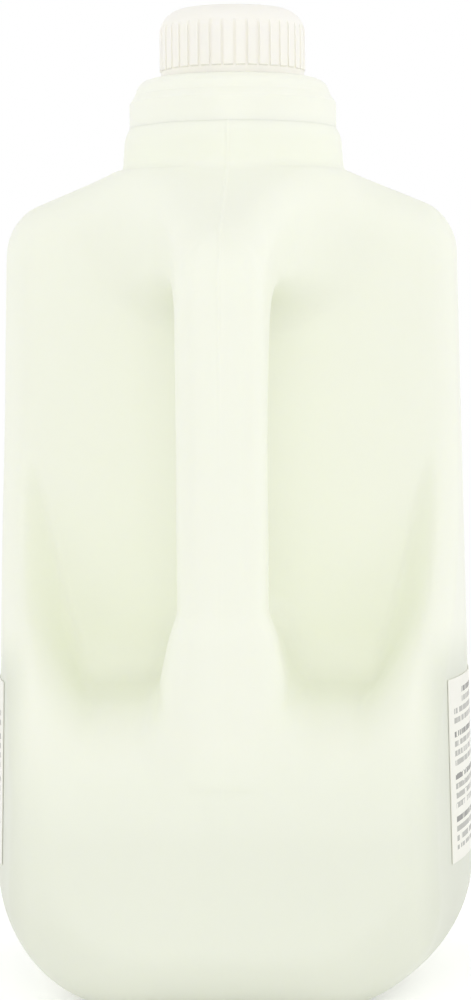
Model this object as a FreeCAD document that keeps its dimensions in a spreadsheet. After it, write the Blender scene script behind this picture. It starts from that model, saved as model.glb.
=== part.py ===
"""Laundry detergent jug of natural plastic: blown body with a rear handle, pour collar, screw cap, labels.

Frame: X across the jug (the mould parts at X = 0), Y front to back with the handle at -Y, Z up.
The origin is the middle of the footprint, on the surface the jug stands on. Millimetres.
"""
import FreeCAD, Part
import math
import os

import Sketcher

Vector = FreeCAD.Vector

# ---------------------------------------------------------------------------------------------
# Driving dimensions: alias, value, meaning
# ---------------------------------------------------------------------------------------------
SIZES = [
    # main shell
    ("body_width", 130.0, "width across X, at the top of the foot corners"),
    ("body_depth", 166.0, "rear face to front face, along Y"),
    ("side_radius", 300.0, "plan radius of the bulged label sides"),
    ("side_taper", 3.4, "how far each side leans in between the foot corner and the neck"),
    ("foot_corner", 34.0, "large corner between base and sides, seen from the rear"),
    ("foot_round", 19.0, "rounding of the base edge, seen from the side"),
    ("shoulder_corner", 12.5, "corner between side and shoulder"),
    ("shoulder_slope", 22.5, "slope of the shoulders, degrees"),
    ("shoulder_top", 222.2, "height where the shoulders meet the neck band"),
    ("front_round", 18.0, "rounding all round the front face"),
    ("crown_round", 12.0, "soft edge where the shoulders leave their crown"),
    ("shoulder_least", 18.0, "least width of a shoulder beside its crown"),
    ("shoulder_drop", 4.0, "least height that a shoulder falls from its crown to its corner"),
    # handle bay
    ("wall_place", 28.0, "distance of the bay's back wall behind the neck axis"),
    ("wall_round", 13.5, "rounding between that wall and the shoulders"),
    ("shelf_height", 84.5, "height of the shelf under the handle bay"),
    ("shelf_fall", 9.3, "how far the shelf falls from the wall to the rear face"),
    ("shelf_round", 19.0, "rounding of the shelf's rear edge"),
    ("rear_corner", 8.0, "upright corners of the bay's wall and of the lower box"),
    ("cheek_rise", 0.78, "how much the shelf's sides stand above it for each mm forward of the rear face"),
    ("cheek_wide", 20.0, "how far in from the side the raised part reaches"),
    ("cheek_flat", 9.0, "width of the raised part's top"),
    ("cheek_least", 0.5, "height of the raised part at the rear face"),
    ("cheek_edge", 3.0, "rounding of the raised part's edges"),
    ("cheek_foot", 8.0, "soft edge where the raised part leaves the shelf"),
    ("box_skin", 0.05, "how far the lower box lies inside the shell's sides, so that they don't coincide"),
    # handle
    ("handle_back", 5.0, "how far the grip's outer face stands in from the rear face"),
    ("handle_width", 23.4, "grip width, across X"),
    ("handle_thick", 23.0, "grip thickness, along Y"),
    ("handle_edge", 7.0, "edge rounding of the grip"),
    ("handle_bend", 13.0, "outer bend where the grip turns forward"),
    ("handle_slope", 28.0, "slope of the web from neck to grip, degrees"),
    ("hole_drop", 35.2, "from the top of the shoulders down to the top of the hand hole"),
    ("saddle_high", 16.5, "height of the saddle under the hand hole, above the shelf"),
    ("hole_corner", 10.0, "inner bend at the top of the hand hole"),
    ("web_width", 56.0, "width of the web's top where it leaves the neck"),
    ("arch_width", 38.0, "width of the web's underside where it meets the wall"),
    ("web_edge", 5.0, "rounding along the web's upper edges"),
    ("arch_edge", 4.0, "rounding along the web's lower edges"),
    ("web_curve", 1.6, "power that sets how quickly the web narrows"),
    ("web_skin", 0.6, "how far the web lies inside the grip's bend, so that they don't coincide"),
    ("saddle_width", 37.0, "width of the saddle between grip foot and wall"),
    ("saddle_spread", 3.0, "how much wider each side of the saddle is at the shelf"),
    ("saddle_crown", 8.0, "how far each side of the saddle draws in at its top"),
    ("saddle_root", 2.0, "rounding of the saddle's corners inside the wall"),
    ("root_deep", 4.0, "how far web and saddle reach into the wall"),
    ("grip_root", 6.0, "how far the grip reaches into the wall"),
    ("grip_foot", 20.0, "how far the grip reaches down below the shelf"),
    # base recess
    ("base_trim", 0.05, "how far the rounded outlines run below the base before it is cut flat"),
    ("push_up", 2.0, "depth of the recess in the base"),
    ("push_side", 3.0, "flat base beside the recess"),
    ("push_end", 19.0, "flat base before and behind the recess"),
    ("push_corner", 22.0, "corner radius of that recess"),
    # neck, collar and cap
    ("neck_base", 61.6, "neck band diameter where it leaves the shoulders"),
    ("neck_lean", 1.0, "how far the neck band leans in, up to its top"),
    ("neck_high", 12.5, "height of the neck band"),
    ("neck_deep", 16.0, "how far the neck band reaches down into the shoulders"),
    ("neck_edge", 1.6, "rounding of the neck band's top edge"),
    ("collar_inset", 1.0, "how far the collar's skirt stands in from the neck band's top"),
    ("collar_skirt", 7.2, "height of the collar's straight skirt"),
    ("collar_dome", 6.6, "height of the collar above its skirt"),
    ("collar_step", 1.5, "step from the skirt in to the crown"),
    ("collar_slope", 2.2, "height of that sloping step"),
    ("collar_lean", 1.5, "how far the crown leans in, up to its top"),
    ("collar_crown", 4.2, "rounding of the collar's crown"),
    ("cap_size", 40.6, "cap diameter over its ribs"),
    ("cap_high", 33.5, "height of the cap, skirt included"),
    ("cap_edge", 7.0, "rounding of the cap's top edge"),
    ("cap_gap", 0.4, "radial clearance between cap and collar"),
    ("band_show", 2.2, "height of the cap's plain band above the collar"),
    ("rib_count", 38.0, "grip ribs round the cap"),
    ("rib_depth", 0.4, "depth of the grooves between the ribs"),
    ("groove_wide", 0.8, "width of a groove"),
    # labels
    ("label_thick", 0.25, "thickness of a label"),
    ("label_glue", 0.1, "glue between label and body"),
    ("label_foot", 3.0, "from the foot corner up to a label's lower edge"),
    ("label_rise", 0.5, "from the shelf up to a label's upper edge"),
    ("label_margin", 23.0, "from a label's ends to the front and rear faces"),
]

# Places and sizes that follow from them: name, expression
DERIVED = [
    ("rear_face", "-Sizes.body_depth / 2"),
    ("wall_inside", "-Sizes.wall_place + Sizes.grip_root"),
    ("grip_outer", "Derived.rear_face + Sizes.handle_back"),
    ("grip_inner", "Derived.grip_outer + Sizes.handle_thick"),
    ("grip_low", "Sizes.shelf_height - Sizes.grip_foot"),
    ("web_fall", "tan(Sizes.handle_slope * 1 deg)"),
    ("web_rear", "Sizes.shoulder_top + (Derived.grip_outer + Sizes.neck_base / 2) * Derived.web_fall"),
    ("web_front", "Sizes.shoulder_top + (Derived.wall_inside + Sizes.neck_base / 2) * Derived.web_fall"),
    ("hole_top", "Sizes.shoulder_top - Sizes.hole_drop"),
    ("neck_top", "Sizes.shoulder_top + Sizes.neck_high"),
    ("neck_low", "Sizes.shoulder_top - Sizes.neck_deep"),
    ("neck_crown", "Sizes.neck_base / 2 - Sizes.neck_lean"),
    ("neck_root", "Sizes.neck_base / 2 + Sizes.neck_lean * Sizes.neck_deep / Sizes.neck_high"),
    ("collar_outer", "Derived.neck_crown - Sizes.collar_inset"),
    ("collar_upper", "Derived.collar_outer - Sizes.collar_step"),
    ("collar_bore", "Sizes.cap_size / 2 + Sizes.cap_gap"),
    ("collar_ledge", "Derived.neck_top + Sizes.collar_skirt"),
    ("collar_crest", "Derived.collar_upper - Sizes.collar_lean"),
    ("collar_rise", "Derived.collar_ledge + Sizes.collar_slope"),
    ("collar_top", "Derived.collar_ledge + Sizes.collar_dome"),
    ("collar_round", "min(Sizes.collar_crown; 0.8 * (Derived.collar_crest - Derived.collar_bore))"),
    ("cap_outer", "Sizes.cap_size / 2"),
    ("cap_plain", "Derived.cap_outer - Sizes.rib_depth"),
    ("cap_band", "Derived.collar_top + Sizes.band_show"),
    ("cap_rise", "Derived.cap_band + Sizes.rib_depth"),
    ("cap_top", "Derived.neck_top + Sizes.cap_high"),
    ("groove_out", "Derived.cap_outer + Sizes.rib_depth"),
    ("groove_left", "-Sizes.groove_wide / 2"),
    ("groove_right", "Sizes.groove_wide / 2"),
    ("push_x", "Sizes.body_width / 2 - Sizes.foot_corner - Sizes.push_side"),
    ("push_y", "Sizes.body_depth / 2 - Sizes.foot_round - Sizes.push_end"),
    ("push_x_low", "-Derived.push_x"),
    ("push_y_low", "-Derived.push_y"),
    ("push_round", "min(Sizes.push_corner; 0.8 * Derived.push_x; 0.8 * Derived.push_y)"),
    ("label_low", "Sizes.foot_corner + Sizes.label_foot"),
    ("label_top", "Sizes.shelf_height + Sizes.label_rise"),
    ("label_reach", "Sizes.body_depth / 2 - Sizes.label_margin"),
    ("axis", "0"),
]

doc = FreeCAD.newDocument("LaundryJug")
sheet = doc.addObject("Spreadsheet::Sheet", "Sizes")
for row, (alias, value, meaning) in enumerate(SIZES, start=1):
    sheet.set(f"A{row}", meaning)
    sheet.set(f"B{row}", str(value))
    sheet.setAlias(f"B{row}", alias)
doc.recompute()
derived = doc.addObject("App::VarSet", "Derived")
for name, expression in DERIVED:
    derived.addProperty("App::PropertyFloat", name)
    derived.setExpression(name, expression)
doc.recompute()


def size(name):
    """A driving dimension from the sheet, or a value that follows from several of them."""
    if name in derived.PropertiesList:
        return float(getattr(derived, name))
    return float(sheet.get(name))


# ---------------------------------------------------------------------------------------------
# Lofted pieces: outlines whose sizes change along the jug
# ---------------------------------------------------------------------------------------------
def feature(name, shape):
    """A document object that holds a shape made with Part's own functions."""
    made = doc.addObject("Part::Feature", name)
    made.Shape = shape
    made.Placement = FreeCAD.Placement()
    return made


def rounded_wire(corners, radii, to_space):
    """A closed wire through 2-D corners with an arc at each; to_space makes a 2-D point a Vector."""
    count = len(corners)
    arcs = []
    for index in range(count):
        cx, cy = corners[index]
        px, py = corners[index - 1]
        nx, ny = corners[(index + 1) % count]
        back = math.hypot(px - cx, py - cy)
        ahead = math.hypot(nx - cx, ny - cy)
        ux, uy = (px - cx) / back, (py - cy) / back
        vx, vy = (nx - cx) / ahead, (ny - cy) / ahead
        half_angle = math.acos(max(-1.0, min(1.0, ux * vx + uy * vy))) / 2
        cut = radii[index] / math.tan(half_angle)
        rise = radii[index] / math.sin(half_angle) - radii[index]
        bisector = math.hypot(ux + vx, uy + vy)
        arcs.append((
            to_space(cx + ux * cut, cy + uy * cut),
            to_space(cx + (ux + vx) / bisector * rise, cy + (uy + vy) / bisector * rise),
            to_space(cx + vx * cut, cy + vy * cut),
        ))
    edges = []
    for index in range(count):
        start, middle, end = arcs[index]
        edges.append(Part.Arc(start, middle, end).toShape())
        edges.append(Part.LineSegment(end, arcs[(index + 1) % count][0]).toShape())
    return Part.Wire(edges)


def inset_at(depth, radius):
    """How far an edge rounded to a radius stands in, at a depth behind the face it belongs to."""
    if depth >= radius:
        return 0.0
    return radius - math.sqrt(radius * radius - (radius - depth) ** 2)


def rounding_stations(face, inward, radius, steps=6):
    """Places along Y that follow a rounded edge away from a face, closest together beside the face."""
    return [face + inward * radius * (1 - math.cos(math.pi / 2 * step / steps)) for step in range(steps + 1)]


def side_at(y, height):
    """Half width of the bulged, leaning sides at a place along Y and a height."""
    bulge = size("side_radius") - math.sqrt(size("side_radius") ** 2 - y * y)
    lean = (height - size("foot_corner")) / (size("shoulder_top") - size("foot_corner"))
    return size("body_width") / 2 - bulge - size("side_taper") * lean


def shell_section(y, depth, edge_round, corner_round):
    """Outline of the full-height shell at a place along Y; depth is measured from the nearest face."""
    neck_radius = size("neck_base") / 2
    fall = math.tan(math.radians(size("shoulder_slope")))
    side_in = inset_at(depth, corner_round)
    top_in = inset_at(depth, edge_round)
    foot_in = inset_at(size("body_depth") / 2 - y, size("foot_round")) - size("base_trim")
    foot_half = side_at(y, 0.0) - side_in
    shoulder_half = side_at(y, size("shoulder_top")) - side_in
    crown = size("shoulder_top") - max(0.0, abs(y) - neck_radius) * fall
    shoulder = size("shoulder_top") - (shoulder_half + side_in - neck_radius) * fall
    shoulder = min(shoulder, crown - size("shoulder_drop"))
    flat_half = min(max(neck_radius, abs(y)), shoulder_half - size("shoulder_least"))
    corners = [
        (-foot_half, foot_in),
        (foot_half, foot_in),
        (shoulder_half, shoulder - top_in),
        (flat_half, crown - top_in),
        (-flat_half, crown - top_in),
        (-shoulder_half, shoulder - top_in),
    ]
    foot_radius = size("foot_corner") - side_in
    shoulder_radius = size("shoulder_corner") - side_in / 2
    crown_radius = size("crown_round")
    radii = [foot_radius, foot_radius, shoulder_radius, crown_radius, crown_radius, shoulder_radius]
    return rounded_wire(corners, radii, lambda x, z: Vector(x, y, z))


def shell():
    """The full-height part of the body, from the back wall of the handle bay to the front face."""
    wall = -size("wall_place")
    front = size("body_depth") / 2
    rear_stations = rounding_stations(wall, 1, size("wall_round"))
    front_stations = rounding_stations(front, -1, size("front_round"))[::-1]
    sections = []
    for y in rear_stations:
        sections.append(shell_section(y, y - wall, size("wall_round"), size("rear_corner")))
    for share in (0.0, 0.25, 0.5, 0.75):
        y = front_stations[0] * share
        sections.append(shell_section(y, size("body_depth"), 0.0, 0.0))
    for y in front_stations:
        sections.append(shell_section(y, front - y, size("front_round"), size("front_round")))
    return Part.makeLoft(sections, True, True)


def box_section(y):
    """Outline of the lower box at a place along Y, with its top edge raised at the sides."""
    depth = y - size("rear_face")
    side_in = inset_at(depth, size("rear_corner")) + size("box_skin")
    low = inset_at(depth, size("foot_round")) - size("base_trim")
    bay = -size("wall_place") - size("rear_face")
    shelf = size("shelf_height") - size("shelf_fall") * max(0.0, 1 - depth / bay)
    high = shelf - inset_at(depth, size("shelf_round"))
    cheek = high + max(size("cheek_least"), size("cheek_rise") * depth)
    foot_half = side_at(y, 0.0) - side_in
    high_half = side_at(y, cheek) - side_in
    foot_radius = size("foot_corner") - side_in
    crest = high_half - size("cheek_flat")
    inner = high_half - size("cheek_wide")
    corners = [
        (-foot_half, low),
        (foot_half, low),
        (high_half, cheek),
        (crest, cheek),
        (inner, high),
        (-inner, high),
        (-crest, cheek),
        (-high_half, cheek),
    ]
    edge, soft = size("cheek_edge"), size("cheek_foot")
    radii = [foot_radius, foot_radius, edge, edge, soft, soft, edge, edge]
    return rounded_wire(corners, radii, lambda x, z: Vector(x, y, z))


def lower_box():
    """The lower box that reaches back under the handle bay, up to the shelf."""
    rounded = rounding_stations(size("rear_face"), 1, size("foot_round"))
    last = -size("wall_place") + size("wall_round")
    stations = rounded + [rounded[-1] + (last - rounded[-1]) * step / 4 for step in range(1, 5)]
    return Part.makeLoft([box_section(y) for y in stations], True, True)


def web_line(y):
    """Height of the sloping web between neck and grip at a place behind the neck axis."""
    return size("shoulder_top") - (abs(y) - size("neck_base") / 2) * size("web_fall")


def web():
    """The web that narrows from the neck to the top of the grip, slimmer below than above."""
    sections = []
    start = -size("wall_place") + size("root_deep")
    end = size("grip_outer") + size("handle_bend") / 2
    skin = size("web_skin")
    narrow = size("handle_width") / 2 - skin
    wide = size("web_width") / 2
    arch = size("arch_width") / 2
    under, upper = size("arch_edge"), size("web_edge")
    for share in (0.0, 0.2, 0.4, 0.6, 0.8, 1.0):
        y = start + (end - start) * share
        spread = (1 - share) ** size("web_curve")
        half = narrow + (wide - narrow) * spread
        low_half = narrow - skin / 2 + (arch - narrow) * spread
        high = min(web_line(y), size("shoulder_top")) - skin
        low = size("hole_top") + skin
        corners = [(-low_half, low), (low_half, low), (half, high), (-half, high)]
        radii = [under, under, upper, upper]
        sections.append(rounded_wire(corners, radii, lambda x, z, y=y: Vector(x, y, z)))
    return Part.makeLoft(sections, True, True)


def saddle():
    """The saddle that joins the foot of the grip to the shelf and the wall, under the hand hole."""
    rear = size("grip_outer") + size("web_skin")
    front = -size("wall_place") + size("root_deep")
    edge, root = size("handle_edge"), size("saddle_root")
    sections = []
    for share in (-1.0, 0.0, 0.5, 0.8, 1.0):
        height = size("shelf_height") + size("saddle_high") * share
        drawn_in = size("saddle_crown") * max(0.0, share) ** 4
        half = size("saddle_width") / 2 + size("saddle_spread") * (1 - share) - drawn_in
        corners = [(-half, rear), (half, rear), (half, front), (-half, front)]
        radii = [edge, edge, root, root]
        sections.append(rounded_wire(corners, radii, lambda x, y, z=height: Vector(x, y, z)))
    return Part.makeLoft(sections, True, True)


def label(side):
    """A label on one bulged side; side is 1 for +X and -1 for -X."""
    reach = size("label_reach")
    near = size("label_glue")
    far = near + size("label_thick")
    low, top = size("label_low"), size("label_top")
    sections = []
    count = 12
    for step in range(count + 1):
        y = -reach + 2 * reach * step / count
        points = [
            Vector(side * (side_at(y, low) + near), y, low),
            Vector(side * (side_at(y, low) + far), y, low),
            Vector(side * (side_at(y, top) + far), y, top),
            Vector(side * (side_at(y, top) + near), y, top),
        ]
        sections.append(Part.makePolygon(points + points[:1]))
    return Part.makeLoft(sections, True, True)


# ---------------------------------------------------------------------------------------------
# Pieces made from bound sketches
# ---------------------------------------------------------------------------------------------
def bound_sketch(body, name, role, corners):
    """A closed polygon on one of the body's origin planes; each corner is a pair of derived values."""
    sketch = body.newObject("Sketcher::SketchObject", name)
    plane = next(each for each in body.Origin.OriginFeatures if each.Role == role)
    sketch.AttachmentSupport = (plane, [""])
    sketch.MapMode = "FlatFace"
    values = [(size(first), size(second)) for first, second in corners]
    count = len(values)
    for index in range(count):
        start, end = values[index], values[(index + 1) % count]
        sketch.addGeometry(Part.LineSegment(Vector(*start, 0), Vector(*end, 0)), False)
    for index in range(count):
        sketch.addConstraint(Sketcher.Constraint("Coincident", index, 2, (index + 1) % count, 1))
    for index in range(count):
        for kind, value, source in zip(("DistanceX", "DistanceY"), values[index], corners[index]):
            number = sketch.addConstraint(Sketcher.Constraint(kind, -1, 1, index, 1, value))
            sketch.setExpression(f"Constraints[{number}]", f"Derived.{source}")
    doc.recompute()
    return sketch


def edges_where(shape, test):
    """Names of the edges of a shape that pass a test."""
    return [f"Edge{number}" for number, edge in enumerate(shape.Edges, start=1) if test(edge)]


def ring_edge(height, radius):
    """A test for a round edge about Z at a height and of a radius."""
    def test(edge):
        curve = edge.Curve
        if not isinstance(curve, Part.Circle):
            return False
        return abs(curve.Center.z - height) < 0.01 and abs(curve.Radius - radius) < 0.01
    return test


def fillet(body, base, name, edges, source):
    """A PartDesign fillet whose radius is bound to the sheet or to a derived value."""
    made = body.newObject("PartDesign::Fillet", name)
    made.Base = (base, edges)
    made.Radius = size(source)
    holder = "Derived" if source in derived.PropertiesList else "Sizes"
    made.setExpression("Radius", f"{holder}.{source}")
    doc.recompute()
    return made


def turned(name, corners):
    """A PartDesign body turned about Z from a bound profile on the XZ plane."""
    body = doc.addObject("PartDesign::Body", name)
    profile = bound_sketch(body, name + "Profile", "XZ_Plane", corners)
    turn = body.newObject("PartDesign::Revolution", name + "Turn")
    turn.Profile = profile
    turn.ReferenceAxis = (profile, ["V_Axis"])
    turn.Angle = 360
    doc.recompute()
    return body, turn


def grip():
    """The grip: a padded side profile with rounded bends and edges."""
    body = doc.addObject("PartDesign::Body", "Grip")
    corners = [
        ("wall_inside", "hole_top"),
        ("grip_inner", "hole_top"),
        ("grip_inner", "grip_low"),
        ("grip_outer", "grip_low"),
        ("grip_outer", "web_rear"),
        ("wall_inside", "web_front"),
    ]
    profile = bound_sketch(body, "GripProfile", "YZ_Plane", corners)
    pad = body.newObject("PartDesign::Pad", "GripPad")
    pad.Profile = profile
    pad.Midplane = True
    pad.Length = size("handle_width")
    pad.setExpression("Length", "Sizes.handle_width")
    doc.recompute()

    def edge_at(shape, corner):
        """The straight edge across the grip at a corner of its profile."""
        middle = Vector(0, size(corner[0]), size(corner[1]))
        return edges_where(shape, lambda edge: edge.CenterOfMass.distanceToPoint(middle) < 0.01)

    def long_edge(edge):
        """A test for the edges that run along the grip, on its two sides."""
        centre = edge.CenterOfMass
        at_end = abs(centre.y - size("wall_inside")) < 0.01 or abs(centre.z - size("grip_low")) < 0.01
        return abs(abs(centre.x) - size("handle_width") / 2) < 0.01 and not at_end

    bend = fillet(body, pad, "GripBend", edge_at(pad.Shape, ("grip_outer", "web_rear")), "handle_bend")
    hole = fillet(body, bend, "HoleBend", edge_at(bend.Shape, ("grip_inner", "hole_top")), "hole_corner")
    fillet(body, hole, "GripEdges", edges_where(hole.Shape, long_edge), "handle_edge")
    return body


def neck():
    """The tapered neck band with its rounded top edge."""
    corners = [
        ("axis", "neck_low"),
        ("neck_root", "neck_low"),
        ("neck_crown", "neck_top"),
        ("axis", "neck_top"),
    ]
    body, turn = turned("Neck", corners)
    rim = edges_where(turn.Shape, ring_edge(size("neck_top"), size("neck_crown")))
    fillet(body, turn, "NeckEdge", rim, "neck_edge")
    return body


def collar():
    """The pour collar: a ring with a straight skirt, a sloping step and a rounded crown that leans in."""
    corners = [
        ("collar_bore", "neck_top"),
        ("collar_outer", "neck_top"),
        ("collar_outer", "collar_ledge"),
        ("collar_upper", "collar_rise"),
        ("collar_crest", "collar_top"),
        ("collar_bore", "collar_top"),
    ]
    body, turn = turned("PourCollar", corners)
    rim = edges_where(turn.Shape, ring_edge(size("collar_top"), size("collar_crest")))
    fillet(body, turn, "CollarCrown", rim, "collar_round")
    return body


def cap():
    """The closed screw cap: a plain band, a rounded top and grooves that leave grip ribs."""
    corners = [
        ("axis", "neck_top"),
        ("cap_plain", "neck_top"),
        ("cap_plain", "cap_band"),
        ("cap_outer", "cap_rise"),
        ("cap_outer", "cap_top"),
        ("axis", "cap_top"),
    ]
    body, turn = turned("ScrewCap", corners)
    rim = edges_where(turn.Shape, ring_edge(size("cap_top"), size("cap_outer")))
    crown = fillet(body, turn, "CapEdge", rim, "cap_edge")
    plan = bound_sketch(body, "GroovePlan", "XY_Plane", [
        ("cap_plain", "groove_left"),
        ("groove_out", "groove_left"),
        ("groove_out", "groove_right"),
        ("cap_plain", "groove_right"),
    ])
    plan.setExpression("AttachmentOffset.Base.z", "Derived.cap_band")
    groove = body.newObject("PartDesign::Pocket", "Groove")
    groove.Profile = plan
    groove.Reversed = True
    groove.Length = size("cap_high")
    groove.setExpression("Length", "Sizes.cap_high")
    doc.recompute()
    if groove.Shape.Volume > crown.Shape.Volume - 0.1:
        raise RuntimeError("the groove cuts nothing")
    ring = body.newObject("PartDesign::PolarPattern", "Grooves")
    ring.Originals = [groove]
    ring.Axis = (plan, ["N_Axis"])
    ring.Angle = 360
    ring.Occurrences = int(size("rib_count"))
    ring.setExpression("Occurrences", "Sizes.rib_count")
    body.Tip = ring
    doc.recompute()
    return body


def base_slab():
    """The tool that cuts the base to one flat face."""
    made = doc.addObject("Part::Box", "BaseSlab")
    made.setExpression("Length", "2 * Sizes.body_width")
    made.setExpression("Width", "2 * Sizes.body_depth")
    made.setExpression("Height", "Sizes.foot_corner")
    made.setExpression("Placement.Base.x", "-Sizes.body_width")
    made.setExpression("Placement.Base.y", "-Sizes.body_depth")
    made.setExpression("Placement.Base.z", "-Sizes.foot_corner")
    return made


def base_recess():
    """The tool that cuts the shallow recess in the base."""
    body = doc.addObject("PartDesign::Body", "BaseRecess")
    plan = bound_sketch(body, "RecessPlan", "XY_Plane", [
        ("push_x_low", "push_y_low"),
        ("push_x", "push_y_low"),
        ("push_x", "push_y"),
        ("push_x_low", "push_y"),
    ])
    pad = body.newObject("PartDesign::Pad", "RecessPad")
    pad.Profile = plan
    pad.Length = size("push_up")
    pad.setExpression("Length", "Sizes.push_up")
    doc.recompute()
    upright = edges_where(pad.Shape, lambda edge: abs(edge.tangentAt(edge.FirstParameter).z) > 0.99)
    fillet(body, pad, "RecessCorners", upright, "push_round")
    return body


# ---------------------------------------------------------------------------------------------
# The jug
# ---------------------------------------------------------------------------------------------
def jug_body():
    """The one-piece bottle: shell, lower box, grip, web, saddle and neck, cut flat below and recessed."""
    whole = doc.addObject("Part::MultiFuse", "BottleFused")
    whole.Shapes = [
        feature("MainShell", shell()),
        feature("LowerBox", lower_box()),
        grip(),
        feature("Web", web()),
        feature("Saddle", saddle()),
        neck(),
    ]
    flat = doc.addObject("Part::Cut", "BottleFlat")
    flat.Base = whole
    flat.Tool = base_slab()
    cut = doc.addObject("Part::Cut", "Bottle")
    cut.Base = flat
    cut.Tool = base_recess()
    doc.recompute()
    return cut


PARTS = {
    "jug_body": jug_body(),
    "pour_collar": collar(),
    "screw_cap": cap(),
    "label_right": feature("LabelRight", label(1)),
    "label_left": feature("LabelLeft", label(-1)),
}
for node, part in PARTS.items():
    part.Label = node
doc.recompute()

for each in doc.Objects:
    if "Invalid" in each.State or "Error" in each.State:
        raise RuntimeError(f"{each.Name} failed: {each.State}")
for node, part in PARTS.items():
    if part.Shape.isNull() or not part.Shape.isValid() or len(part.Shape.Solids) != 1:
        raise RuntimeError(f"{node} is not one valid solid")

os.makedirs("parts", exist_ok=True)
for node, part in PARTS.items():
    part.Shape.exportStep(f"parts/{node}.step")
    box = part.Shape.BoundBox
    print(f"{node:12s} {part.Shape.Volume / 1000:9.2f} cm3  x {box.XMin:7.2f} {box.XMax:7.2f}"
          f"  y {box.YMin:7.2f} {box.YMax:7.2f}  z {box.ZMin:7.2f} {box.ZMax:7.2f}")
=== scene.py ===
"""Looks of the laundry detergent jug: a milky blown bottle, its collar, ribbed cap and labels.

Metres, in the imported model's frame: +Z up, the grip at -Y, +X across the jug, the neck axis at X = Y = 0.
"""

import math

import bpy
import numpy as np
from mathutils import Matrix, Vector


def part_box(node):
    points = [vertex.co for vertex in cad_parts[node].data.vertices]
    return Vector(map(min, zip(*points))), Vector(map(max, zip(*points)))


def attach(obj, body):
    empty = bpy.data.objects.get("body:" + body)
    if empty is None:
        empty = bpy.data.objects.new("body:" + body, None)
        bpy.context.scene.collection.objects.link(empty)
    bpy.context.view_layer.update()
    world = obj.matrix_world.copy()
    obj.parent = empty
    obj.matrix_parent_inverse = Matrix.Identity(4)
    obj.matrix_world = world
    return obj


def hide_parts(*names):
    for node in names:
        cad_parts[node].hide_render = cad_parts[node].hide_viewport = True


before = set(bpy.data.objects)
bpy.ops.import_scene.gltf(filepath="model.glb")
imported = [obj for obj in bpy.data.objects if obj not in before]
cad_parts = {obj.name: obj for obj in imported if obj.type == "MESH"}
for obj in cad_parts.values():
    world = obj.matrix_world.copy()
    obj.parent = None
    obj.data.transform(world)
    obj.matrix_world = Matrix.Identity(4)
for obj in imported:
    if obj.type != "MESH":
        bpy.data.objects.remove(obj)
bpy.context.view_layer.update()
MM = 0.001

# ---------------------------------------------------------------------------------------------
# Places read from the frame
# ---------------------------------------------------------------------------------------------
BODY_LOW, BODY_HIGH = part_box("jug_body")
COLLAR_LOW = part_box("pour_collar")[0]
LABEL_LOW, LABEL_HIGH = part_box("label_right")

REAR = BODY_LOW.y
FRONT = BODY_HIGH.y
HALF_WIDTH = 65.0 * MM
NECK_TOP = COLLAR_LOW.z

# ---------------------------------------------------------------------------------------------
# Sizes of the blown bottle; a pair named SPAN gives the places between which something fades in
# ---------------------------------------------------------------------------------------------
# Shell
SIDE_RADIUS = 300.0 * MM
SIDE_TAPER = 3.4 * MM
LEAN_LIMITS = (-0.4, 1.1)
FOOT_CORNER = 34.0 * MM
FOOT_ROUND = 19.0 * MM
FOOT_SPAN_Y = (-20.0 * MM, -60.0 * MM)
FOOT_SPAN_Z = (42.0 * MM, 8.0 * MM)
REAR_CORNER = 8.0 * MM
FRONT_ROUND = 18.0 * MM
FRONT_SPAN_Y = (10.0 * MM, 60.0 * MM)

# Neck band; its top edge leans in by the first size over the second, and the tuck is inside the collar
NECK_BASE = 30.8 * MM
NECK_CROWN = 30.0 * MM
NECK_HIGH = 12.5 * MM
NECK_EDGE = (1.1 * MM, 3.8 * MM)
NECK_TUCK = 0.7 * MM
NECK_LEAN_LIMIT = 1.3
NECK_ROOT = 20.0 * MM
NECK_BLEND = 2.6 * MM

# Shoulders and the bay's back wall
SHOULDER_TOP = NECK_TOP - NECK_HIGH
SHOULDER_FALL = math.tan(math.radians(22.5))
WALL = -28.0 * MM
WALL_ROUND = 13.5 * MM
WALL_SPAN_X = (20.0 * MM, 36.0 * MM)

# Shelf on the lower box, with its cheeks; the scale keeps the sloping top's field near a true distance
SHELF = 84.5 * MM
SHELF_FALL = 9.3 * MM / (WALL - REAR)
SHELF_ROUND = 28.0 * MM
SHELF_BLEND = 10.0 * MM
SHELF_SCALE = 0.9
CHEEK_RISE = 0.78
CHEEK_WIDE = 24.0 * MM
CHEEK_FLAT = 4.0 * MM
CHEEK_BLEND = 22.0 * MM

# Hand hole
HOLE_TOP = SHOULDER_TOP - 35.2 * MM
HOLE_FLOOR = SHELF + 16.5 * MM
HOLE_CORNER = 10.0 * MM

# Grip
GRIP_OUTER = -78.0 * MM
GRIP_INNER = -55.0 * MM
GRIP_HALF = 11.7 * MM
GRIP_EDGE = 7.0 * MM
GRIP_BEND = 13.0 * MM
GRIP_BLEND = 7.0 * MM
BEND_SPAN_Y = (-60.0 * MM, -72.0 * MM)
HANDLE_ROOT = SHELF - 22.0 * MM
HANDLE_BACK = -15.0 * MM

# Web between the grip's top and the shoulder
WEB_FALL = math.tan(math.radians(28.0))
WEB_HALF = 26.0 * MM
WEB_CURVE = 2.0
WEB_EDGE = 8.0 * MM
WEB_BLEND = 17.0 * MM
FLARE_SPAN_Z = (HOLE_TOP - 40.0 * MM, HOLE_TOP + 24.0 * MM)
WEB_SPAN_Z = (HOLE_TOP - 30.0 * MM, HOLE_TOP + 22.0 * MM)

# Saddle under the hand hole
SADDLE_HALF = 12.8 * MM
SADDLE_SPREAD = 3.5 * MM
SADDLE_REAR = GRIP_OUTER + 1.5 * MM
SADDLE_BACK = -20.0 * MM
SADDLE_ROUND = 6.0 * MM
SADDLE_BLEND = 5.0 * MM

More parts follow.
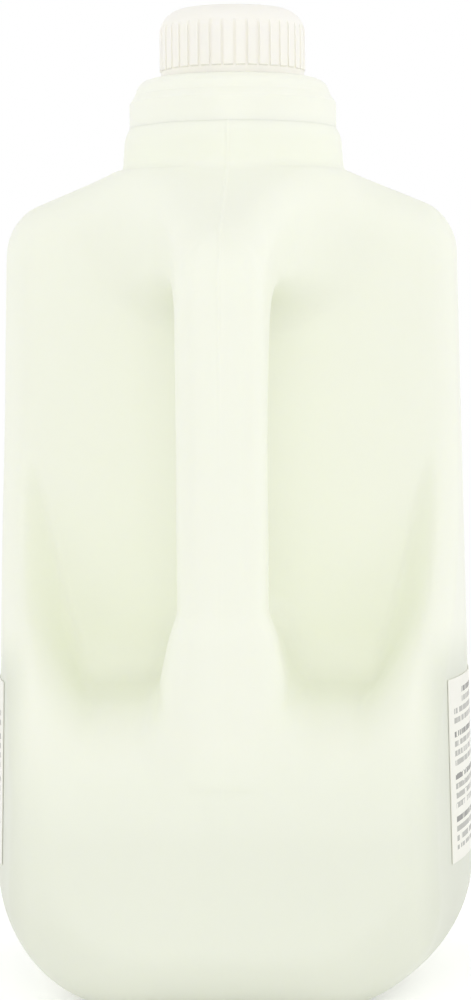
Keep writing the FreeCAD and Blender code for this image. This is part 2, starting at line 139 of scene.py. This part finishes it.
# Recess in the base
RECESS_UP = 2.0 * MM
RECESS_HALF = (28.0 * MM, 45.0 * MM)
RECESS_CORNER = 22.0 * MM
RECESS_EDGE = 1.5 * MM

# Mould seam, faint low down and stronger above, and fading out before the front face and the base
SEAM_HIGH = 0.20 * MM
SEAM_WIDE = 0.32 * MM
SEAM_FAINT = 0.15
SEAM_SPAN_Z = (SHELF + 60.0 * MM, SHELF + 110.0 * MM)
SEAM_SPAN_Y = (FRONT, FRONT - 30.0 * MM)
SEAM_FOOT_SPAN_Z = (0.0, 6.0 * MM)

# Steps of the mesh, and how its points are settled
GRID = 1.45 * MM
SEAM_GRID = 0.25 * MM
SEAM_REACH = 1.6 * MM
NECK_GRID = 0.5 * MM
NECK_REACH = 4.0 * MM
MARGIN = 2.0 * MM
SETTLE_STEPS = 4
LEAST_SLOPE = 0.05


# ---------------------------------------------------------------------------------------------
# Distance fields: negative inside, in metres
# ---------------------------------------------------------------------------------------------
def smooth_step(span, value):
    """0 up to the first place of a span, 1 from the second, and a smooth rise between."""
    start, end = span
    share = np.clip((value - start) / (end - start), 0.0, 1.0)
    return share * share * (3.0 - 2.0 * share)


def meet(first, second, radius):
    """The overlap of two solids, with its edge rounded to a radius."""
    corner = np.hypot(np.maximum(first + radius, 0.0), np.maximum(second + radius, 0.0))
    return np.minimum(-radius, np.maximum(first, second)) + corner


def join(first, second, radius):
    """Two solids together, with the inner corner between them filled to a radius."""
    corner = np.hypot(np.maximum(radius - first, 0.0), np.maximum(radius - second, 0.0))
    return np.maximum(radius, np.minimum(first, second)) - corner


def side_field(x, y, z):
    """The two bulged sides, which lean in a little towards the neck."""
    bulge = SIDE_RADIUS - np.sqrt(SIDE_RADIUS**2 - np.clip(y, REAR, FRONT) ** 2)
    lean = np.clip((z - FOOT_CORNER) / (SHOULDER_TOP - FOOT_CORNER), *LEAN_LIMITS)
    return np.abs(x) - (HALF_WIDTH - bulge - SIDE_TAPER * lean)


def roof_field(x, y, z):
    """The space under the sloping shoulders, their level crown and the falling top of the web."""
    across = np.maximum(np.abs(x) - NECK_BASE, 0.0)
    along = np.maximum(y - NECK_BASE, 0.0)
    height = SHOULDER_TOP - np.hypot(across, along) * SHOULDER_FALL
    shoulder = (z - height) * math.cos(math.atan(SHOULDER_FALL))
    web_line = SHOULDER_TOP + np.minimum(y + NECK_BASE, 0.0) * WEB_FALL
    return np.maximum(shoulder, (z - web_line) * math.cos(math.atan(WEB_FALL)))


def roof_round(x, y):
    """Rounding along the roof's edge: wide over the wall, tighter along the web, wider at the grip's bend."""
    wall = (WALL_ROUND - WEB_EDGE) * smooth_step(WALL_SPAN_X, np.abs(x))
    bend = (GRIP_BEND - WEB_EDGE) * smooth_step(BEND_SPAN_Y, y)
    return WEB_EDGE + np.maximum(wall, bend)


def upright_round(y, z):
    """Rounding where the sides meet the rest: tight at the rear, softer at the front and at the rear foot."""
    front = (FRONT_ROUND - REAR_CORNER) * smooth_step(FRONT_SPAN_Y, y)
    foot = (FOOT_ROUND - REAR_CORNER) * smooth_step(FOOT_SPAN_Z, z) * smooth_step(FOOT_SPAN_Y, y)
    return REAR_CORNER + front + foot


def bay_field(x, y, z):
    """The bay's back wall and the lower box, whose shelf falls to the rear and rises at the cheeks."""
    cheek = smooth_step((-CHEEK_WIDE, -CHEEK_FLAT), side_field(x, y, z))
    shelf = SHELF - np.maximum(WALL - y, 0.0) * SHELF_FALL
    top = shelf + np.maximum(y - REAR, 0.0) * CHEEK_RISE * cheek
    lower = meet(REAR - y, (z - top) * SHELF_SCALE, SHELF_ROUND)
    return join(WALL - y, lower, SHELF_BLEND + (CHEEK_BLEND - SHELF_BLEND) * cheek)


def handle_field(x, y, z):
    """The grip and the web behind its top, up to the roof."""
    hole = meet(GRIP_INNER - y, z - HOLE_TOP, HOLE_CORNER)
    outline = np.maximum(GRIP_OUTER - y, -hole)
    outline = np.maximum(outline, HANDLE_ROOT - z)
    outline = np.maximum(outline, y - HANDLE_BACK)
    share = np.clip((WALL - y) / (WALL - GRIP_OUTER), 0.0, 1.0)
    spread = (1.0 - share) ** WEB_CURVE * smooth_step(FLARE_SPAN_Z, z)
    half = GRIP_HALF + (WEB_HALF - GRIP_HALF) * spread
    return meet(outline, np.abs(x) - half, GRIP_EDGE)


def saddle_field(x, y, z):
    """The saddle that closes the hand hole below and spreads into the shelf."""
    spread = SADDLE_SPREAD * smooth_step((HOLE_FLOOR, SHELF), z)
    across = np.abs(x) - SADDLE_HALF - spread
    along = np.maximum(SADDLE_REAR - y, y - SADDLE_BACK)
    block = meet(meet(across, along, GRIP_EDGE), z - HOLE_FLOOR, SADDLE_ROUND)
    return np.maximum(block, HANDLE_ROOT - z)


def neck_field(x, y, z):
    """The neck band, leaning in to its top edge, which runs a little way up inside the collar."""
    share = (z - SHOULDER_TOP) / NECK_HIGH
    inward, high = NECK_EDGE
    edge = inward * np.clip((z - NECK_TOP + high) / high, 0.0, NECK_LEAN_LIMIT) ** 2
    around = np.hypot(x, y) - (NECK_BASE + (NECK_CROWN - NECK_BASE) * share - edge)
    return np.maximum(np.maximum(around, z - NECK_TOP - NECK_TUCK), (SHOULDER_TOP - NECK_ROOT) - z)


def recess_field(x, y, z):
    """The shallow recess in the base."""
    over_x = np.maximum(np.abs(x) - RECESS_HALF[0] + RECESS_CORNER, 0.0)
    over_y = np.maximum(np.abs(y) - RECESS_HALF[1] + RECESS_CORNER, 0.0)
    plan = np.hypot(over_x, over_y) - RECESS_CORNER
    return meet(plan, z - RECESS_UP, RECESS_EDGE)


def bottle_field(x, y, z):
    """The whole bottle: bay, grip and web under one roof, then front, sides, neck, recess and mould seam."""
    handle = join(handle_field(x, y, z), saddle_field(x, y, z), SADDLE_BLEND)
    web = smooth_step(WEB_SPAN_Z, z)
    body = join(bay_field(x, y, z), handle, GRIP_BLEND + (WEB_BLEND - GRIP_BLEND) * web)
    body = meet(np.maximum(body, REAR - y), roof_field(x, y, z), roof_round(x, y))
    body = meet(body, y - FRONT, FRONT_ROUND)
    footing = meet(side_field(x, y, z), -z, FOOT_CORNER)
    body = meet(body, footing, upright_round(y, z))
    body = join(body, neck_field(x, y, z), NECK_BLEND)
    body = meet(body, -recess_field(x, y, z), RECESS_EDGE)
    strength = SEAM_FAINT + (1.0 - SEAM_FAINT) * smooth_step(SEAM_SPAN_Z, z)
    fade = smooth_step(SEAM_SPAN_Y, y) * smooth_step(SEAM_FOOT_SPAN_Z, z)
    return body - SEAM_HIGH * np.exp(-((x / SEAM_WIDE) ** 2)) * strength * fade


# ---------------------------------------------------------------------------------------------
# Surface of a field as a mesh
# ---------------------------------------------------------------------------------------------
def grid_line(low, high, step, fine=None):
    """Places along one axis; fine gives a closer step within a short way of a middle."""
    count = int(math.ceil((high - low) / step))
    line = np.linspace(low, high, count + 1)
    if fine is None:
        return line
    middle, reach, close = fine
    near = np.arange(middle - reach, middle + reach + close / 2, close)
    return np.unique(np.concatenate([line[np.abs(line - middle) > reach + close], near]))


def field_gradient(field, points):
    """Gradient of a field at points."""
    step = 0.05 * MM
    out = np.empty_like(points)
    for axis in range(3):
        shift = np.zeros(3)
        shift[axis] = step
        ahead = points + shift
        back = points - shift
        out[:, axis] = (field(*ahead.T) - field(*back.T)) / (2 * step)
    return out


def crossing_cells(field, lines):
    """Which corners of the grid are inside, the cells that the surface crosses, and a first point in each."""
    grids = np.meshgrid(*lines, indexing="ij")
    values = field(*grids)
    inside = values < 0
    shape = tuple(size - 1 for size in values.shape)
    total = np.zeros(shape + (3,))
    hits = np.zeros(shape, int)
    starts = [(i, j, k) for i in (0, 1) for j in (0, 1) for k in (0, 1)]
    for start in starts:
        for axis in range(3):
            if start[axis]:
                continue
            end = tuple(1 if other == axis else start[other] for other in range(3))
            first = tuple(slice(start[n], start[n] + shape[n]) for n in range(3))
            second = tuple(slice(end[n], end[n] + shape[n]) for n in range(3))
            crossed = inside[first] != inside[second]
            before, after = values[first][crossed], values[second][crossed]
            share = before / (before - after)
            for other in range(3):
                near, far = grids[other][first][crossed], grids[other][second][crossed]
                total[..., other][crossed] += near + (far - near) * share
            hits[crossed] += 1
    used = hits > 0
    return inside, used, total[used] / hits[used][:, None]


def settle(field, points):
    """Moves points on to the zero surface of a field."""
    for _ in range(SETTLE_STEPS):
        slope = field_gradient(field, points)
        steep = np.maximum((slope**2).sum(1), LEAST_SLOPE)
        move = slope * (field(*points.T) / steep)[:, None]
        points = points - np.clip(move, -GRID / 2, GRID / 2)
    return points


def quads_between(inside, index):
    """One quad round each grid edge that leaves or enters the solid, facing outward."""
    faces = []
    for axis in range(3):
        one, two = [other for other in range(3) if other != axis]
        first = [slice(1, -1)] * 3
        first[axis] = slice(0, -1)
        second = list(first)
        second[axis] = slice(1, None)
        leaving = inside[tuple(first)] & ~inside[tuple(second)]
        entering = ~inside[tuple(first)] & inside[tuple(second)]
        for crossed, turn in ((leaving, axis != 1), (entering, axis == 1)):
            cell = np.argwhere(crossed)
            cell[:, [one, two]] += 1
            ring = []
            for back_one, back_two in ((0, 0), (1, 0), (1, 1), (0, 1)):
                at = cell.copy()
                at[:, one] -= back_one
                at[:, two] -= back_two
                ring.append(index[at[:, 0], at[:, 1], at[:, 2]])
            faces.append(np.stack(ring if turn else ring[::-1], axis=1))
    return np.concatenate(faces)


def surface_of(name, field, lines):
    """A smooth quad mesh on the zero surface of a field, with one point for each cell that it crosses."""
    inside, used, points = crossing_cells(field, lines)
    index = np.full(used.shape, -1, int)
    index[used] = np.arange(len(points))
    mesh = bpy.data.meshes.new(name)
    mesh.from_pydata(settle(field, points).tolist(), [], quads_between(inside, index).tolist())
    mesh.validate()
    mesh.polygons.foreach_set("use_smooth", [True] * len(mesh.polygons))
    made = bpy.data.objects.new(name, mesh)
    bpy.context.scene.collection.objects.link(made)
    return made


# ---------------------------------------------------------------------------------------------
# Materials
# ---------------------------------------------------------------------------------------------
def linear(red, green, blue):
    """Linear colour of an sRGB colour given in 0 to 255."""
    def one(value):
        share = value / 255.0
        return share / 12.92 if share <= 0.04045 else ((share + 0.055) / 1.055) ** 2.4
    return (one(red), one(green), one(blue), 1.0)


def new_material(name):
    """A node material with its shader, and helpers to add and link nodes."""
    material = bpy.data.materials.new(name)
    material.use_nodes = True
    tree = material.node_tree
    shader = tree.nodes["Principled BSDF"]

    def add(kind, **settings):
        node = tree.nodes.new(kind)
        for key, value in settings.items():
            setattr(node, key, value)
        return node

    return material, shader, add, tree.links.new


def object_noise(add, link, scale, detail=3.0):
    """Noise in object coordinates; scale counts its features to a metre."""
    place = add("ShaderNodeTexCoord")
    noise = add("ShaderNodeTexNoise")
    noise.inputs["Scale"].default_value = scale
    noise.inputs["Detail"].default_value = detail
    link(place.outputs["Object"], noise.inputs["Vector"])
    return noise.outputs["Fac"]


def mapped(add, link, value, to_low, to_high):
    """A value of 0 to 1 spread over a range."""
    node = add("ShaderNodeMapRange")
    node.inputs["To Min"].default_value = to_low
    node.inputs["To Max"].default_value = to_high
    link(value, node.inputs["Value"])
    return node.outputs["Result"]


def faded(add, link, value, span, most=1.0):
    """A smooth rise from 0 at the first place of a span to the most at the second."""
    node = add("ShaderNodeMapRange", interpolation_type="SMOOTHSTEP")
    node.inputs["From Min"].default_value, node.inputs["From Max"].default_value = span
    node.inputs["To Max"].default_value = most
    link(value, node.inputs["Value"])
    return node.outputs["Result"]


def mixed(add, link, factor, first, second):
    """Two colours mixed by a factor; the first is a colour or another node's output."""
    node = add("ShaderNodeMix", data_type="RGBA")
    if isinstance(first, tuple):
        node.inputs["A"].default_value = first
    else:
        link(first, node.inputs["A"])
    node.inputs["B"].default_value = second
    link(factor, node.inputs["Factor"])
    return node.outputs["Result"]


# Plastics: drift of the colour, clouds in the gloss, orange-peel in the skin, and light that soaks in
DRIFT_SCALE = 14.0
CLOUD_SCALE = 60.0
CLOUD_DETAIL = 4.0
CLOUD_ROUGH = (-0.05, 0.07)
PEEL_SCALE = 900.0
PEEL_DETAIL = 2.0
PEEL_BUMP = 0.05
PEEL_DEPTH = 0.2 * MM
PLASTIC_IOR = 1.5
SOAK_SHARE = 0.3
SOAK_COLOURS = (1.0, 1.0, 0.8)

# Painted shade on the bottle: the colour deepens towards the bottom, for the thick lower box letting less
# light through, and again at the lower corners next to the labels
LOWER_SHADE_SPAN_Z = (82.0 * MM, 42.0 * MM)
LOWER_SHADE_MOST = 0.8
DRIFT_WITH_SHADE = 0.3
SIDE_SHADE_SPAN_X = (49.0 * MM, 60.0 * MM)
SIDE_SHADE_SPAN_Z = (101.0 * MM, 82.0 * MM)


def painted_shade_colour(add, link, drift, pale, deep, side_shade):
    """Painted shade: the colour deepens towards the bottom, where the thick lower box lets less light
    through, and again at the lower corners next to the labels.
    """
    place = add("ShaderNodeTexCoord")
    split = add("ShaderNodeSeparateXYZ")
    link(place.outputs["Object"], split.inputs["Vector"])
    # Painted shade: darker towards the bottom, for the thick lower box letting less light through; the
    # drift's random tone is mixed in
    fall = faded(add, link, split.outputs["Z"], LOWER_SHADE_SPAN_Z, LOWER_SHADE_MOST)
    share = add("ShaderNodeMath", operation="MULTIPLY_ADD")
    share.inputs[1].default_value = DRIFT_WITH_SHADE
    link(drift, share.inputs[0])
    link(fall, share.inputs[2])
    colour = mixed(add, link, share.outputs["Value"], pale, deep)
    # Painted shade at the lower corners next to the labels
    across = add("ShaderNodeMath", operation="ABSOLUTE")
    link(split.outputs["X"], across.inputs[0])
    corner = add("ShaderNodeMath", operation="MULTIPLY")
    link(faded(add, link, across.outputs["Value"], SIDE_SHADE_SPAN_X), corner.inputs[0])
    link(faded(add, link, split.outputs["Z"], SIDE_SHADE_SPAN_Z), corner.inputs[1])
    return mixed(add, link, corner.outputs["Value"], colour, side_shade)


def milky_plastic(name, pale, deep, rough, soak, side_shade=None):
    """Natural polyethylene: colour drift, satin gloss, orange-peel skin, and some light that soaks in.

    The last argument, given only for the bottle, is the painted shade colour of the lower corners next to the
    labels; with it the colour also deepens towards the bottom as painted shade.
    """
    material, shader, add, link = new_material(name)
    drift = object_noise(add, link, DRIFT_SCALE)
    if side_shade is None:
        colour = mixed(add, link, drift, pale, deep)
    else:
        colour = painted_shade_colour(add, link, drift, pale, deep, side_shade)
    link(colour, shader.inputs["Base Color"])
    cloud = object_noise(add, link, CLOUD_SCALE, CLOUD_DETAIL)
    least, most = [rough + change for change in CLOUD_ROUGH]
    link(mapped(add, link, cloud, least, most), shader.inputs["Roughness"])
    bump = add("ShaderNodeBump")
    bump.inputs["Strength"].default_value = PEEL_BUMP
    bump.inputs["Distance"].default_value = PEEL_DEPTH
    link(object_noise(add, link, PEEL_SCALE, PEEL_DETAIL), bump.inputs["Height"])
    link(bump.outputs["Normal"], shader.inputs["Normal"])
    shader.inputs["Subsurface Weight"].default_value = SOAK_SHARE
    shader.inputs["Subsurface Radius"].default_value = SOAK_COLOURS
    shader.inputs["Subsurface Scale"].default_value = soak
    shader.inputs["IOR"].default_value = PLASTIC_IOR
    return material


# Print on the labels: rows in groups, and the film under them
ROW_PITCH = 2.5 * MM
GROUP_ROWS = 4.45
PRINT_TOP = 3.0 * MM
PRINT_LOW = 3.0 * MM
PRINT_SIDE = 7.0 * MM
SHORT_ROWS = 14.0 * MM
SHORT_COUNT = 2.0
BARS_IN_GROUP = 4.0
BAR_SHARE = 0.58
WORDS_TO_A_METRE = 420.0
ROW_STEP = 7.3
WORD_GAPS = 0.42
INK = 0.63
HEADING_INK = 0.32
FILM_COLOUR = linear(243, 242, 231)
INK_COLOUR = linear(92, 91, 84)
WEAR_SCALE = 300.0
WEAR_ROUGH = (0.28, 0.42)
WEAR_BUMP = 0.06
WEAR_DEPTH = 0.1 * MM


def label_film():
    """Pale film; its print is groups of generic bars, the first of each bolder, broken into blocks."""
    material, shader, add, link = new_material("label_film")
    place = add("ShaderNodeTexCoord")
    split = add("ShaderNodeSeparateXYZ")
    link(place.outputs["Object"], split.inputs["Vector"])

    def maths(operation, first, second=None):
        node = add("ShaderNodeMath", operation=operation)
        for slot, value in enumerate((first, second)):
            if value is None:
                continue
            if isinstance(value, (int, float)):
                node.inputs[slot].default_value = value
            else:
                link(value, node.inputs[slot])
        return node.outputs["Value"]

    row = maths("DIVIDE", maths("SUBTRACT", LABEL_HIGH.z - PRINT_TOP, split.outputs["Z"]), ROW_PITCH)
    group = maths("MULTIPLY", maths("FRACT", maths("DIVIDE", row, GROUP_ROWS)), GROUP_ROWS)
    in_bar = maths("LESS_THAN", maths("FRACT", group), BAR_SHARE)
    bar = maths("MULTIPLY", in_bar, maths("LESS_THAN", group, BARS_IN_GROUP))
    heading = maths("LESS_THAN", group, 1.0)
    word_place = add("ShaderNodeCombineXYZ")
    link(maths("MULTIPLY", split.outputs["Y"], WORDS_TO_A_METRE), word_place.inputs["X"])
    link(maths("MULTIPLY", maths("FLOOR", row), ROW_STEP), word_place.inputs["Y"])
    word_noise = add("ShaderNodeTexNoise")
    word_noise.inputs["Scale"].default_value = 1.0
    word_noise.inputs["Detail"].default_value = 1.0
    link(word_place.outputs["Vector"], word_noise.inputs["Vector"])
    word = maths("GREATER_THAN", word_noise.outputs["Fac"], WORD_GAPS)
    indent = maths("MULTIPLY", maths("LESS_THAN", row, SHORT_COUNT), SHORT_ROWS)
    start = maths("ADD", indent, LABEL_LOW.y + PRINT_SIDE)
    inside_side = maths("GREATER_THAN", split.outputs["Y"], start)
    inside_front = maths("LESS_THAN", split.outputs["Y"], LABEL_HIGH.y - PRINT_SIDE)
    inside_top = maths("GREATER_THAN", row, 0.0)
    inside_low = maths("GREATER_THAN", split.outputs["Z"], LABEL_LOW.z + PRINT_LOW)
    mask = maths("MULTIPLY", maths("MULTIPLY", inside_low, inside_top),
                 maths("MULTIPLY", inside_side, inside_front))
    weight = maths("ADD", maths("MULTIPLY", heading, HEADING_INK), INK)
    ink = maths("MULTIPLY", maths("MULTIPLY", maths("MULTIPLY", bar, word), mask), weight)
    link(mixed(add, link, ink, FILM_COLOUR, INK_COLOUR), shader.inputs["Base Color"])
    wear = object_noise(add, link, WEAR_SCALE)
    link(mapped(add, link, wear, *WEAR_ROUGH), shader.inputs["Roughness"])
    bump = add("ShaderNodeBump")
    bump.inputs["Strength"].default_value = WEAR_BUMP
    bump.inputs["Distance"].default_value = WEAR_DEPTH
    link(wear, bump.inputs["Height"])
    link(bump.outputs["Normal"], shader.inputs["Normal"])
    return material


def wear_material(piece, material):
    """Puts one material on a piece, in its first slot."""
    if piece.data.materials:
        piece.data.materials[0] = material
    else:
        piece.data.materials.append(material)


# ---------------------------------------------------------------------------------------------
# The jug
# ---------------------------------------------------------------------------------------------
# The bottle's last colour is painted shade for its lower corners next to the labels
BOTTLE_PLASTIC = milky_plastic("natural_plastic", linear(249, 252, 236), linear(238, 241, 226), 0.42,
                               2.0 * MM, side_shade=linear(222, 225, 210))
COLLAR_PLASTIC = milky_plastic("collar_plastic", linear(250, 252, 238), linear(249, 251, 236), 0.38, 2.0 * MM)
CAP_PLASTIC = milky_plastic("cap_plastic", linear(252, 249, 241), linear(250, 247, 238), 0.36, 2.0 * MM)
LABEL_FILM = label_film()


def bottle():
    """The blown bottle, in place of the plain CAD body."""
    seam = (0.0, SEAM_REACH, SEAM_GRID)
    neck = (NECK_TOP - MARGIN, NECK_REACH, NECK_GRID)
    lines = (
        grid_line(BODY_LOW.x - MARGIN, BODY_HIGH.x + MARGIN, GRID, seam),
        grid_line(BODY_LOW.y - MARGIN, BODY_HIGH.y + MARGIN, GRID),
        grid_line(BODY_LOW.z - MARGIN, BODY_HIGH.z + MARGIN, GRID, neck),
    )
    made = surface_of("bottle", bottle_field, lines)
    wear_material(made, BOTTLE_PLASTIC)
    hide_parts("jug_body")
    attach(made, "root")
    return made


bottle()
wear_material(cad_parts["pour_collar"], COLLAR_PLASTIC)
wear_material(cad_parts["screw_cap"], CAP_PLASTIC)
wear_material(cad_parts["label_right"], LABEL_FILM)
wear_material(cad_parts["label_left"], LABEL_FILM)


# ---------------------------------------------------------------------------------------------
# Studio
# ---------------------------------------------------------------------------------------------
FLOOR_HALF = 1.5
FLOOR_GREY = (0.95, 0.95, 0.95, 1.0)
FLOOR_ROUGH = 0.9
FLOOR_LIFT = 0.32
WHITE = (1.0, 1.0, 1.0, 1.0)


def white_to_camera(tree, link):
    """A factor that is 1 for camera, glossy and transmission rays."""
    path = tree.nodes.new("ShaderNodeLightPath")
    first = tree.nodes.new("ShaderNodeMath")
    first.operation = "MAXIMUM"
    second = tree.nodes.new("ShaderNodeMath")
    second.operation = "MAXIMUM"
    link(path.outputs["Is Camera Ray"], first.inputs[0])
    link(path.outputs["Is Glossy Ray"], first.inputs[1])
    link(first.outputs["Value"], second.inputs[0])
    link(path.outputs["Is Transmission Ray"], second.inputs[1])
    return second.outputs["Value"]


def studio_world(even, left, right):
    """Soft light from all round: an even level, and more from the left and the right, seen as plain white."""
    world = bpy.data.worlds.new("studio")
    bpy.context.scene.world = world
    world.use_nodes = True
    tree = world.node_tree
    link = tree.links.new
    background = tree.nodes["Background"]
    background.inputs["Color"].default_value = WHITE
    place = tree.nodes.new("ShaderNodeTexCoord")

    def lobe(direction, level):
        toward = tree.nodes.new("ShaderNodeVectorMath")
        toward.operation = "DOT_PRODUCT"
        toward.inputs[1].default_value = direction
        link(place.outputs["Generated"], toward.inputs[0])
        node = tree.nodes.new("ShaderNodeMapRange")
        node.interpolation_type = "SMOOTHSTEP"
        node.inputs["To Max"].default_value = level
        link(toward.outputs["Value"], node.inputs["Value"])
        return node.outputs["Result"]

    base = tree.nodes.new("ShaderNodeMath")
    base.operation = "ADD"
    base.inputs[1].default_value = even
    link(lobe((-1, 0, 0), left), base.inputs[0])
    total = tree.nodes.new("ShaderNodeMath")
    total.operation = "ADD"
    link(base.outputs["Value"], total.inputs[0])
    link(lobe((1, 0, 0), right), total.inputs[1])
    mix = tree.nodes.new("ShaderNodeMix")
    mix.inputs["B"].default_value = 1.0
    link(white_to_camera(tree, link), mix.inputs["Factor"])
    link(total.outputs["Value"], mix.inputs["A"])
    link(mix.outputs["Result"], background.inputs["Strength"])


def floor():
    """The pale floor that keeps the jug's shadow."""
    mesh = bpy.data.meshes.new("floor")
    signs = ((-1, -1), (1, -1), (1, 1), (-1, 1))
    corners = [(across * FLOOR_HALF, along * FLOOR_HALF, 0.0) for across, along in signs]
    mesh.from_pydata(corners, [], [(0, 1, 2, 3)])
    made = bpy.data.objects.new("floor", mesh)
    bpy.context.scene.collection.objects.link(made)
    material, shader, add, link = new_material("floor")
    shader.inputs["Base Color"].default_value = FLOOR_GREY
    shader.inputs["Roughness"].default_value = FLOOR_ROUGH
    shader.inputs["Emission Color"].default_value = WHITE
    lift = add("ShaderNodeMath", operation="MULTIPLY")
    lift.inputs[1].default_value = FLOOR_LIFT
    link(white_to_camera(material.node_tree, link), lift.inputs[0])
    link(lift.outputs["Value"], shader.inputs["Emission Strength"])
    wear_material(made, material)
    return made


def soft_lamp(name, place, target, size, watts):
    """A rectangular area lamp that faces a target."""
    data = bpy.data.lights.new(name, "AREA")
    data.shape = "RECTANGLE"
    data.size, data.size_y = size
    data.energy = watts
    made = bpy.data.objects.new(name, data)
    made.location = place
    made.rotation_mode = "QUATERNION"
    made.rotation_quaternion = (Vector(target) - Vector(place)).to_track_quat("-Z", "Y")
    bpy.context.scene.collection.objects.link(made)
    return made


CAMERA_TURN = math.radians(3.05)
CAMERA_ROLL = math.radians(-0.454)
CAMERA_DISTANCE = 975.9 * MM
CAMERA_HEIGHT = 145.5 * MM


def camera():
    """The camera, held level a little above the middle of the jug and almost square to the grip side."""
    data = bpy.data.cameras.new("camera")
    data.lens = 126.0
    data.sensor_width = 36.0
    data.shift_y = -0.05
    made = bpy.data.objects.new("camera", data)
    aside, back = math.sin(CAMERA_TURN), math.cos(CAMERA_TURN)
    made.location = (CAMERA_DISTANCE * aside, -CAMERA_DISTANCE * back, CAMERA_HEIGHT)
    ahead = Vector((-aside, back, 0.0))
    made.rotation_mode = "QUATERNION"
    roll = Matrix.Rotation(CAMERA_ROLL, 3, "Z").to_quaternion()
    made.rotation_quaternion = ahead.to_track_quat("-Z", "Y") @ roll
    bpy.context.scene.collection.objects.link(made)
    bpy.context.scene.camera = made


MIDDLE = (0.0, 0.0, (BODY_LOW.z + BODY_HIGH.z) / 2)
studio_world(even=0.36, left=0.93, right=1.00)
floor()
soft_lamp("lamp_key", (0.10, -2.2, 0.50), MIDDLE, (1.2, 1.2), 6.0)
soft_lamp("lamp_top", (0.0, -1.1, 1.8), MIDDLE, (1.4, 1.0), 4.4)
camera()
bpy.context.scene.view_settings.view_transform = "Standard"
